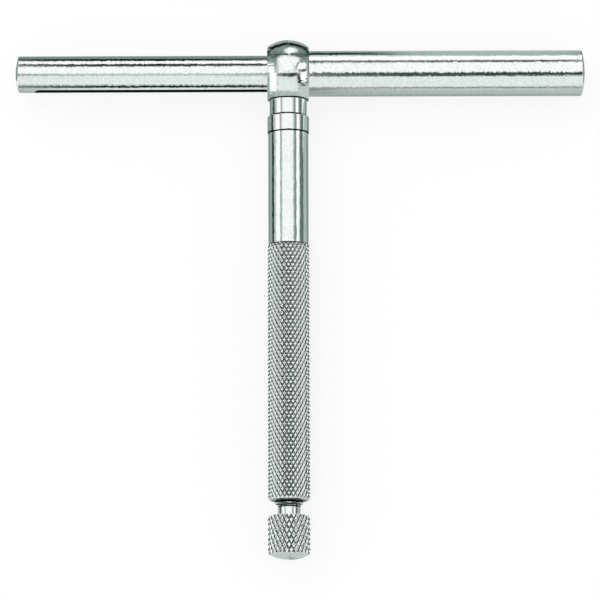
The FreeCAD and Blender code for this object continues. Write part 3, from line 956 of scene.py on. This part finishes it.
LAMP = (1.3, 1.3, 1.3)
CEILING = (1.18, 1.2, 1.2)
CLOTH = (0.97, 1.02, 1.01)
FOLD = (0.64, 0.70, 0.68)
PALE_TABLE = (0.50, 0.60, 0.565)
WALL = (0.37, 0.455, 0.425)
TABLE = (0.26, 0.345, 0.315)
SEAM = (0.15, 0.205, 0.185)
DUSK = (0.035, 0.055, 0.05)
GAP = (0.003, 0.006, 0.005)

# The shades above have the names of things that a studio may hold, but are only shades: the panels'
# limits are fitted to the reflections in the main view. The tent is laid out as a ball under the main
# camera shows it: across and up are the place on that ball that mirrors a direction, from -1 to 1,
# width and height are the same with crumpled edges, rim is the distance from its middle, and x is the
# direction's own x, which is small for all that the arms mirror. Each panel lies over those before it.
TOWARDS = (0.0, -0.235, 0.972)
UPWARDS = (0.0, 0.972, 0.235)
LEFT_ARM, RIGHT_ARM = (-0.09, -0.004), (-0.004, 0.09)


def stack(side, *rows):
    """Panels one under the other in the part of the tent that an arm mirrors."""
    return [(shade_colour, {"x": side, "up": (low, high)}) for shade_colour, low, high in rows]


PANELS = (
    # the broad lights on the ball, with dark lines round them
    (FOLD, {"up": (-1.0, -0.75)}),
    (TABLE, {"height": (0.6, 1.0)}),
    (SEAM, {"height": (0.5, 0.62)}),
    (GAP, {"width": (-0.45, 0.45), "height": (0.53, 0.585)}),
    (CEILING, {"width": (-0.33, 0.35), "height": (0.06, 0.52)}),
    (FOLD, {"width": (-0.06, 0.16), "height": (0.5, 0.61)}),
    (CLOTH, {"spot": (0.0, 1.35)}),
    (LAMP, {"spot": (0.0, 1.0)}),
    (CLOTH, {"width": (-0.34, 0.3), "height": (-0.5, -0.07)}),
    (PALE_TABLE, {"width": (-0.4, 0.4), "height": (-0.75, -0.5)}),
    (SEAM, {"width": (-0.32, 0.32), "height": (-0.07, 0.06)}),
    (GAP, {"width": (-0.2, 0.28), "height": (-0.05, 0.03)}),
    # the sides of the ball, lit low down and dark above
    (LAMP, {"across": (-0.9, -0.64), "up": (-0.45, -0.09)}),
    (LAMP, {"across": (0.64, 0.9), "up": (-0.45, -0.09)}),
    (GAP, {"across": (-0.945, -0.8), "up": (0.13, 0.4)}),
    (DUSK, {"across": (0.82, 0.955), "up": (0.2, 0.4)}),
    (SEAM, {"width": (-1.0, -0.31), "height": (0.5, 0.64)}),
    (GAP, {"width": (-1.0, -0.33), "height": (0.545, 0.6)}),
    (SEAM, {"width": (-1.0, -0.3), "height": (0.43, 0.465)}),
    (SEAM, {"width": (-1.0, -0.3), "height": (0.36, 0.385)}),
    (TABLE, {"width": (-1.0, -0.3), "height": (0.28, 0.3)}),
    (SEAM, {"width": (0.33, 1.0), "height": (0.48, 0.66)}),
    (GAP, {"width": (0.35, 1.0), "height": (0.545, 0.59)}),
    (SEAM, {"width": (0.33, 1.0), "height": (0.4, 0.435)}),
    (SEAM, {"width": (0.33, 1.0), "height": (0.32, 0.345)}),
    (GAP, {"across": (-1.0, -0.62), "up": (0.33, 0.6)}),
    (GAP, {"across": (0.65, 1.0), "up": (0.33, 0.6)}),
    # the contacts mirror these at a glance, inside a dark outline
    (LAMP, {"across": (-1.0, -0.945), "up": (-0.45, -0.1)}),
    (FOLD, {"across": (-1.0, -0.945), "up": (-0.1, 0.33)}),
    (LAMP, {"across": (0.96, 1.0), "up": (-0.45, -0.1)}),
    # what the barrel of the handle mirrors, from left to right
    (WALL, {"across": (-0.92, -0.8), "up": (-0.09, 0.13)}),
    (TABLE, {"across": (-1.0, -0.92), "up": (-0.09, 0.12)}),
    (GAP, {"across": (-0.805, -0.725), "up": (-0.09, 0.33)}),
    (WALL, {"across": (-0.725, -0.69), "up": (-0.09, 0.33)}),
    (FOLD, {"across": (-0.69, -0.63), "up": (0.0, 0.33)}),
    (CLOTH, {"across": (-0.63, -0.58), "up": (0.05, 0.33)}),
    (LAMP, {"across": (-0.58, -0.41), "up": (0.05, 0.27)}),
    (LAMP, {"across": (-0.54, -0.35), "up": (-0.53, 0.09)}),
    (WALL, {"across": (-0.41, -0.36), "up": (0.1, 0.26)}),
    (FOLD, {"across": (-0.36, -0.3), "up": (0.1, 0.26)}),
    (CLOTH, {"across": (0.2, 0.25), "up": (0.1, 0.26)}),
    (FOLD, {"across": (0.25, 0.295), "up": (0.1, 0.26)}),
    (TABLE, {"across": (0.295, 0.405), "up": (0.1, 0.3)}),
    (LAMP, {"across": (0.405, 0.535), "up": (0.08, 0.26)}),
    (FOLD, {"across": (0.535, 0.58), "up": (0.05, 0.26)}),
    (SEAM, {"across": (0.58, 0.75), "up": (-0.09, 0.33)}),
    (PALE_TABLE, {"across": (0.75, 0.895), "up": (-0.09, 0.33)}),
    (TABLE, {"across": (0.895, 1.0), "up": (-0.09, 0.33)}),
    (TABLE, {"rim": (0.987, 1.01), "across": (-1.0, -0.9)}),
    (TABLE, {"rim": (0.987, 1.01), "across": (0.9, 1.0)}),
    # the bright spot low on the right of the ball and its dark edges, which no piece stands behind
    (FOLD, {"width": (0.3, 0.65), "height": (-0.75, -0.3)}),
    (GAP, {"crescent": (0.0, 1.0), "height": (-0.5, 0.02)}),
    (LAMP, {"pin": (0.0, 1.0)}),
    # dark ring along the top of the ball
    (GAP, {"rim": (0.85, 0.925), "up": (0.45, 1.0)}),
    (WALL, {"rim": (0.925, 1.0), "up": (0.45, 1.0)}),
    # what the left arm mirrors, from its top edge down
    *stack(LEFT_ARM,
        (TABLE, 0.84, 1.0), (GAP, 0.725, 0.85), (LAMP, 0.575, 0.725), (GAP, 0.43, 0.575),
        (CEILING, 0.035, 0.43), (FOLD, -0.065, 0.035), (CLOTH, -0.55, -0.065), (FOLD, -0.61, -0.55),
        (GAP, -0.735, -0.61), (CLOTH, -0.84, -0.735), (FOLD, -1.0, -0.84),
    ),
    (WALL, {"x": (-0.09, -0.0785), "up": (-1.0, -0.66)}),
    # what the right arm mirrors
    *stack(RIGHT_ARM,
        (WALL, 0.91, 1.0), (GAP, 0.815, 0.92), (CLOTH, 0.76, 0.815),
    ),
    (PALE_TABLE, {"x": (0.0285, 0.09), "up": (0.765, 1.0)}),
    *stack(RIGHT_ARM,
        (LAMP, 0.585, 0.76), (SEAM, 0.49, 0.585),
    ),
    (GAP, {"x": (0.056, 0.09), "up": (0.5, 0.58)}),
    *stack(RIGHT_ARM,
        (CEILING, 0.055, 0.49), (DUSK, -0.12, 0.055), (CLOTH, -0.58, -0.12),
        (PALE_TABLE, -1.0, -0.58), (WALL, -0.62, -0.585),
    ),
    (SEAM, {"x": (0.031, 0.09), "up": (-0.63, -0.585)}),
    *stack(RIGHT_ARM,
        (FOLD, -0.75, -0.63), (WALL, -1.0, -0.9),
    ),
    (GAP, {"x": (-0.004, 0.0055), "up": (-0.88, -0.62)}),
)


def tent_material():
    """Emission of the tent by the direction that a place on it lies in."""
    material = bpy.data.materials.new("reflection tent")
    tree = Tree(material)
    direction = tree.vector("NORMALIZE", tree.node("ShaderNodeTexCoord", output="Object"))
    mirror = tree.vector("NORMALIZE", tree.vector("ADD", direction, TOWARDS))
    across = tree.axes(mirror)[0]
    up = tree.vector("DOT_PRODUCT", mirror, UPWARDS, output="Value")
    width = across + (tree.noise(mirror, 22.0, 3.0, 0.6) - 0.5) * CRUMPLE
    height = up + (tree.noise(mirror, 31.0, 2.0, 0.6) - 0.5) * CRUMPLE

    def oval(middle_x, middle_y, half_x, half_y):
        """Distance from the middle of an oval, 1 on its outline."""
        side, rise = (across - middle_x) / half_x, (up - middle_y) / half_y
        return across.work("SQRT", side * side + rise * rise)

    measures = {
        "x": tree.axes(direction)[0],
        "across": across,
        "up": up,
        "width": width,
        "height": height,
        "rim": across.work("SQRT", across * across + up * up),
        "spot": oval(0.05, 0.68, 0.19, 0.075),
        "pin": oval(0.46, -0.06, 0.1, 0.18),
        "crescent": oval(0.43, -0.13, 0.13, 0.2),
    }
    light = WALL
    for panel_colour, limits in PANELS:
        inside = 1.0
        for name, (low, high) in limits.items():
            inside = (measures[name] > low) * (measures[name] < high) * inside
        light = tree.mix(inside, light, panel_colour)
    streaks = tree.noise(mirror, 30.0, 3.0, 0.7)
    glow = tree.node("ShaderNodeEmission", None, {"Color": light, "Strength": streaks * 0.5 + 0.76})
    tree.node("ShaderNodeOutputMaterial", None, {"Surface": glow})
    material.cycles.emission_sampling = "NONE"
    return material


def floor_material(settings):
    """Pale floor, partly lit from below as over a light table, for the camera, mirrors and glass.

    For mirrors this changes nothing as long as build_floor hides the floor from them.
    """
    material = bpy.data.materials.new("pale floor")
    tree = Tree(material)
    plain = tree.node("ShaderNodeBsdfDiffuse", None, {"Color": rgba(settings.studio.floor_colour)})
    glow = tree.node("ShaderNodeEmission", None, {"Color": (1, 1, 1, 1), "Strength": 1.0})
    rays = ("Is Camera Ray", "Is Glossy Ray", "Is Transmission Ray")
    camera, glossy, clear = [tree.node("ShaderNodeLightPath", output=name) for name in rays]
    seen = camera.work("MAXIMUM", camera.work("MAXIMUM", camera, glossy), clear)
    share = seen * settings.studio.floor_glow
    table = tree.node("ShaderNodeMixShader", None, {0: share, 1: plain, 2: glow})
    tree.node("ShaderNodeOutputMaterial", None, {"Surface": table})
    return material


def build_floor(settings):
    """The floor that the gauge lies on. Mirrors see the tent in its place."""
    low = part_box("head")[0].z
    far = FLOOR_REACH
    corners = [(-far, -far, low), (far, -far, low), (far, far, low), (-far, far, low)]
    floor = mesh_object("floor", corners, [(0, 1, 2, 3)])
    floor.data.materials.append(floor_material(settings))
    floor.visible_glossy = False
    floor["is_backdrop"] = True


def build_tent():
    """The sphere of panels round the scene."""
    angles = [math.pi * step / TENT_STEPS for step in range(TENT_STEPS + 1)]
    arc = [(TENT_RADIUS * math.cos(angle), TENT_RADIUS * math.sin(angle)) for angle in angles]
    arc[0], arc[-1] = (TENT_RADIUS, 0), (-TENT_RADIUS, 0)
    tent = turned("tent", "Z", arc, 2 * TENT_STEPS)
    tent.data.materials.append(tent_material())
    tent.visible_camera = tent.visible_diffuse = tent.visible_shadow = tent.visible_transmission = False
    tent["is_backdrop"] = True


def build_lights(scene, studio):
    """Even light from all round, and a soft lamp overhead."""
    world = bpy.data.worlds.new("studio")
    scene.world = world
    tree = Tree(world)
    sky = tree.node("ShaderNodeBackground", None, {"Color": (1, 1, 1, 1), "Strength": studio.daylight})
    tree.node("ShaderNodeOutputWorld", None, {"Surface": sky})

    lamp = bpy.data.lights.new("soft lamp", "AREA")
    lamp.shape, lamp.size, lamp.energy = "DISK", LAMP_SIZE, studio.lamp_power
    holder = bpy.data.objects.new("soft lamp", lamp)
    holder.location = LAMP_PLACE
    holder.rotation_euler = (-holder.location).to_track_quat("-Z", "Y").to_euler()
    holder.visible_glossy = False
    scene.collection.objects.link(holder)


def build_camera(scene):
    """The camera of the main view, high over the foot of the handle."""
    lens = bpy.data.cameras.new("camera")
    lens.lens, lens.sensor_width, lens.clip_end = FOCAL_LENGTH, SENSOR_WIDTH, CLIP_END
    camera = bpy.data.objects.new("camera", lens)
    camera.location = CAMERA_PLACE
    aim = Vector(CAMERA_AIM) - camera.location
    camera.rotation_euler = aim.to_track_quat("-Z", "Y").to_euler()
    camera.rotation_euler.rotate_axis("Z", CAMERA_ROLL)
    scene.collection.objects.link(camera)
    scene.camera = camera


class GAUGE_OT_stage(bpy.types.Operator):
    """Set up the floor, the tent, the lights and the camera"""

    bl_idname = "gauge.stage"
    bl_label = "Stage"

    def execute(self, context):
        scene = context.scene
        scene.view_settings.view_transform = "Standard"
        build_floor(scene.gauge)
        build_tent()
        build_lights(scene, scene.gauge.studio)
        build_camera(scene)
        return {"FINISHED"}


class GAUGE_PT_panel(bpy.types.Panel):
    """Gauge settings and the operators that build it"""

    bl_idname = "GAUGE_PT_panel"
    bl_label = "Telescoping Gauge"
    bl_space_type = "VIEW_3D"
    bl_region_type = "UI"
    bl_category = "Gauge"

    def draw(self, context):
        for group in ("head", "arms", "handle", "screw", "springs", "finish", "studio"):
            column = self.layout.column(heading=group.title())
            settings = getattr(context.scene.gauge, group)
            for name in settings.__annotations__:
                column.prop(settings, name)
        for operator in OPERATORS:
            self.layout.operator(operator.bl_idname)


OPERATORS = (
    GAUGE_OT_head, GAUGE_OT_arm_pin, GAUGE_OT_fixed_arm, GAUGE_OT_plunger, GAUGE_OT_handle,
    GAUGE_OT_lock_screw, GAUGE_OT_lock_rod, GAUGE_OT_springs, GAUGE_OT_stage,
)
CLASSES = (
    HeadSizes, ArmSizes, HandleSizes, ScrewSizes, SpringSizes, Finishes, Studio, GaugeSettings,
    *OPERATORS, GAUGE_PT_panel,
)


def register():
    for kind in CLASSES:
        bpy.utils.register_class(kind)
    bpy.types.Scene.gauge = bpy.props.PointerProperty(type=GaugeSettings)


def unregister():
    del bpy.types.Scene.gauge
    for kind in reversed(CLASSES):
        bpy.utils.unregister_class(kind)


def main():
    register()
    bpy.ops.gauge.head()
    bpy.ops.gauge.arm_pin()
    bpy.ops.gauge.fixed_arm()
    bpy.ops.gauge.plunger()
    bpy.ops.gauge.handle()
    bpy.ops.gauge.lock_screw()
    bpy.ops.gauge.lock_rod()
    bpy.ops.gauge.springs()
    bpy.ops.gauge.stage()
    boxes = [[list(corner) for corner in box] for box in (cad_box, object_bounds())]


if __name__ == "__main__":
    main()
